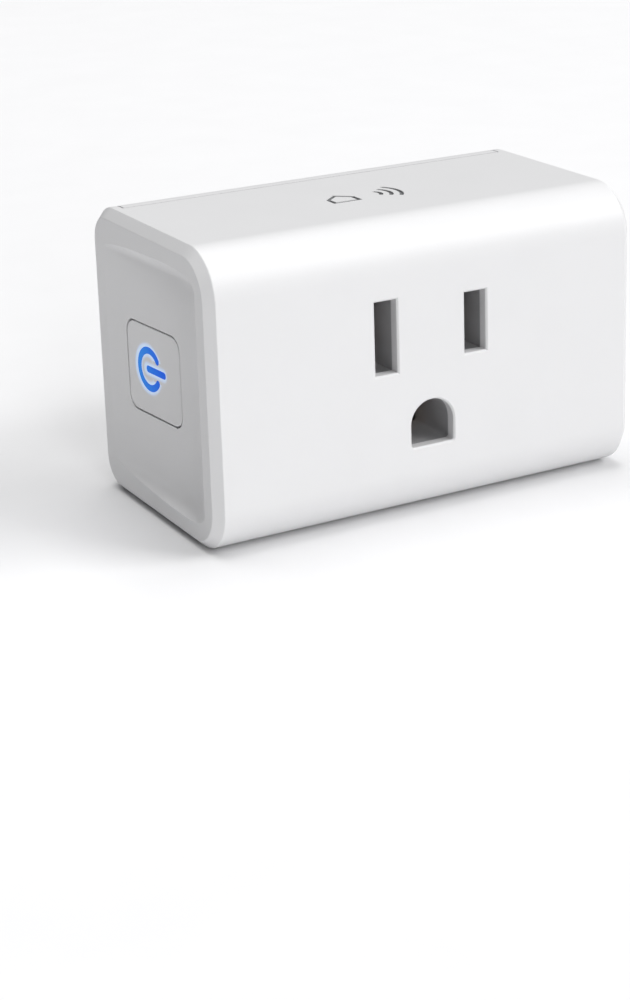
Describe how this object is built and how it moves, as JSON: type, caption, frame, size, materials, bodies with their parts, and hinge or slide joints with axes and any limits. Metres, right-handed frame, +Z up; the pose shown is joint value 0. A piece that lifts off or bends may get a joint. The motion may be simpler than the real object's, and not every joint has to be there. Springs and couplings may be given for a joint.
{
  "type": "smart plug",
  "caption": "Compact wall smart plug: rounded white casing with a grounded outlet on its face, scooped ends, a lit power button and plug blades behind.",
  "frame": {"origin": "centre of the casing's back face, where it meets the wall plate", "axes": "+X to the right seen from the front, +Y into the wall along the blades, +Z up"},
  "size_m": [0.06, 0.0532, 0.0376],
  "materials": {
    "housing_white": "fine moulded texture, satin",
    "cover_white": "fine moulded texture, satin",
    "button_white": "fine moulded texture, satin",
    "light_guide": "translucent, lit blue from behind",
    "blade_nickel": "nickel-plated brass, lightly brushed",
    "carrier_grey": "moulded, matte",
    "retainer_white": "moulded, matte",
    "contact_bronze": "formed spring bronze",
    "board_green": "glass-epoxy laminate with solder mask",
    "capacitor_sleeve": "shrunk sleeve",
    "ferrite": "sintered ferrite",
    "copper_wire": "enamelled copper wire",
    "film_capacitor": "potted plastic box",
    "varistor_blue": "epoxy-coated disc",
    "resistor_body": "lacquered ceramic",
    "chip_black": "moulded epoxy package",
    "relay_black": "moulded case",
    "relay_base": "moulded base",
    "relay_iron": "zinc-plated soft iron",
    "bobbin_white": "moulded nylon",
    "tinned_metal": "tin-plated",
    "shield_can": "tin-plated sheet",
    "led_blue": "clear resin",
    "led_amber": "clear resin",
    "switch_black": "moulded",
    "chip_part": "sintered chip part",
    "barrier_paper": "insulating sheet"
  },
  "bodies": {
    "casing": {"main_housing": "housing_white", "rear_cover": "cover_white", "neutral_blade": "blade_nickel", "line_blade": "blade_nickel", "earth_pin": "blade_nickel", "contact_carrier": "carrier_grey", "carrier_plate": "carrier_grey", "blade_retainer": "retainer_white", "neutral_contact": "contact_bronze", "line_contact": "contact_bronze", "earth_contact": "contact_bronze", "main_board": "board_green", "control_board": "board_green", "bulk_capacitor_upper": "capacitor_sleeve", "bulk_capacitor_lower": "capacitor_sleeve", "output_capacitor": "capacitor_sleeve", "inductor_core": "ferrite", "inductor_winding": "copper_wire", "relay_coil": "copper_wire", "x_capacitor": "film_capacitor", "varistor": "varistor_blue", "fuse_resistor": "resistor_body", "bridge_rectifier": "chip_black", "supply_regulator": "chip_black", "radio_processor": "chip_black", "memory_chip": "chip_black", "relay_case": "relay_black", "relay_base": "relay_base", "relay_yoke": "relay_iron", "relay_core": "relay_iron", "relay_bobbin": "bobbin_white", "relay_fixed_contact": "contact_bronze", "relay_hinge_spring": "contact_bronze", "relay_coil_pins": "tinned_metal", "header_strip": "switch_black", "header_pins": "tinned_metal", "switch_base": "switch_black", "switch_dome": "tinned_metal", "switch_cover": "tinned_metal", "status_led_blue": "led_blue", "status_led_amber": "led_amber", "radio_shield": "shield_can", "crystal": "shield_can", "radio_antenna": "copper_wire", "chip_resistors": "chip_part", "chip_capacitors": "chip_part", "insulating_sheet": "barrier_paper"},
    "power_button": {"power_button": "button_white", "symbol_light_guide": "light_guide"},
    "switch_plunger": {"switch_plunger": "switch_black"},
    "relay_armature": {"relay_armature": "relay_iron", "relay_moving_contact": "contact_bronze"}
  },
  "joints": [
    {"name": "power_button_press", "type": "slide", "parent": "casing", "child": "power_button", "axis": [1, 0, 0], "range_m": [0, 0.0004], "stiffness_N_per_m": 1500, "springref_m": -0.0002},
    {"name": "switch_plunger_press", "type": "slide", "parent": "casing", "child": "switch_plunger", "axis": [1, 0, 0], "range_m": [0, 0.0004]},
    {"name": "relay_armature_pull", "type": "hinge", "parent": "casing", "child": "relay_armature", "pos_m": [0.0188, -0.0197, -0.0118], "axis": [-1, 0, 0], "range_deg": [0, 4.5], "stiffness_Nm_per_rad": 0.05, "springref_deg": -1.15}
  ],
  "couplings": [
    {"joint": "switch_plunger_press", "follows": "power_button_press", "ratio": 1}
  ]
}
